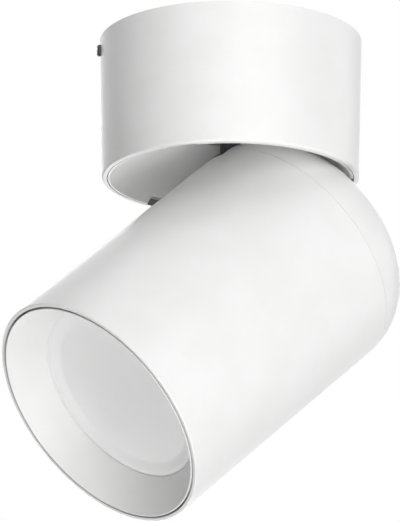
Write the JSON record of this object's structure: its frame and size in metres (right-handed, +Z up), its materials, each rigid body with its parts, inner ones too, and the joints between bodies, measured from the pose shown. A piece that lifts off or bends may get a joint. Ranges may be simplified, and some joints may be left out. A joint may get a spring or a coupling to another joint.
{
  "type": "surface mounted ceiling spotlight",
  "caption": "Ceiling spotlight: a drum canopy on the ceiling, and a domed cylindrical head that turns and tilts on a friction swivel, with a deep-set frosted diffuser.",
  "frame": {"origin": "centre of the canopy's open top, on the ceiling plane", "axes": "+Z up into the ceiling; X through the side screw, at -X, and the hook opposite it; the head tilts down towards -X and -Y at rest"},
  "size_m": [0.1506, 0.1262, 0.1887],
  "materials": {
    "white_paint": "satin white powder coat",
    "white_plastic": "fine matt white",
    "zinc_steel": "zinc plated",
    "brass": "plain",
    "bare_aluminium": "as cast",
    "black_plastic": "moulded",
    "opal_plastic": "frosted opal",
    "board": "white solder mask on aluminium",
    "emitter": "yellow phosphor",
    "fibre": "friction washer, plain"
  },
  "bodies": {
    "canopy": {"mounting_plate": "zinc_steel", "earth_screw": "brass", "canopy_housing": "white_paint", "side_screw": "zinc_steel", "carrier_plate": "zinc_steel", "carrier_screws": "zinc_steel", "inner_dish": "white_plastic", "swivel_bush": "white_plastic", "led_driver": "white_plastic", "driver_screws": "zinc_steel", "terminal_block": "white_plastic", "terminal_screws": "brass"},
    "swivel": {"swivel_stem": "zinc_steel", "friction_washer": "fibre", "stop_washer": "zinc_steel", "swivel_spring": "zinc_steel", "swivel_nut": "zinc_steel", "pivot_knuckle": "zinc_steel"},
    "head": {"head_tube": "white_paint", "rear_dome": "white_paint", "dome_screws": "zinc_steel", "pivot_bracket": "zinc_steel", "bracket_screws": "zinc_steel", "pivot_bolt": "zinc_steel", "pivot_washers": "fibre", "pivot_spring": "zinc_steel", "pivot_nut": "zinc_steel", "heat_sink": "bare_aluminium", "heat_sink_screws": "zinc_steel", "led_board": "board", "led_emitters": "emitter", "board_screws": "zinc_steel", "spacer_ring": "white_plastic", "diffuser": "opal_plastic", "collar": "white_plastic"}
  },
  "joints": [
    {"name": "head_pan", "type": "hinge", "parent": "canopy", "child": "swivel", "pos_m": [0, 0, 0], "axis": [0, 0, 1], "range_deg": [-195, 145]},
    {"name": "head_tilt", "type": "hinge", "parent": "swivel", "child": "head", "pos_m": [0, 0, -0.1035], "axis": [-0.4226, 0.9063, 0], "range_deg": [-49, 1]}
  ]
}
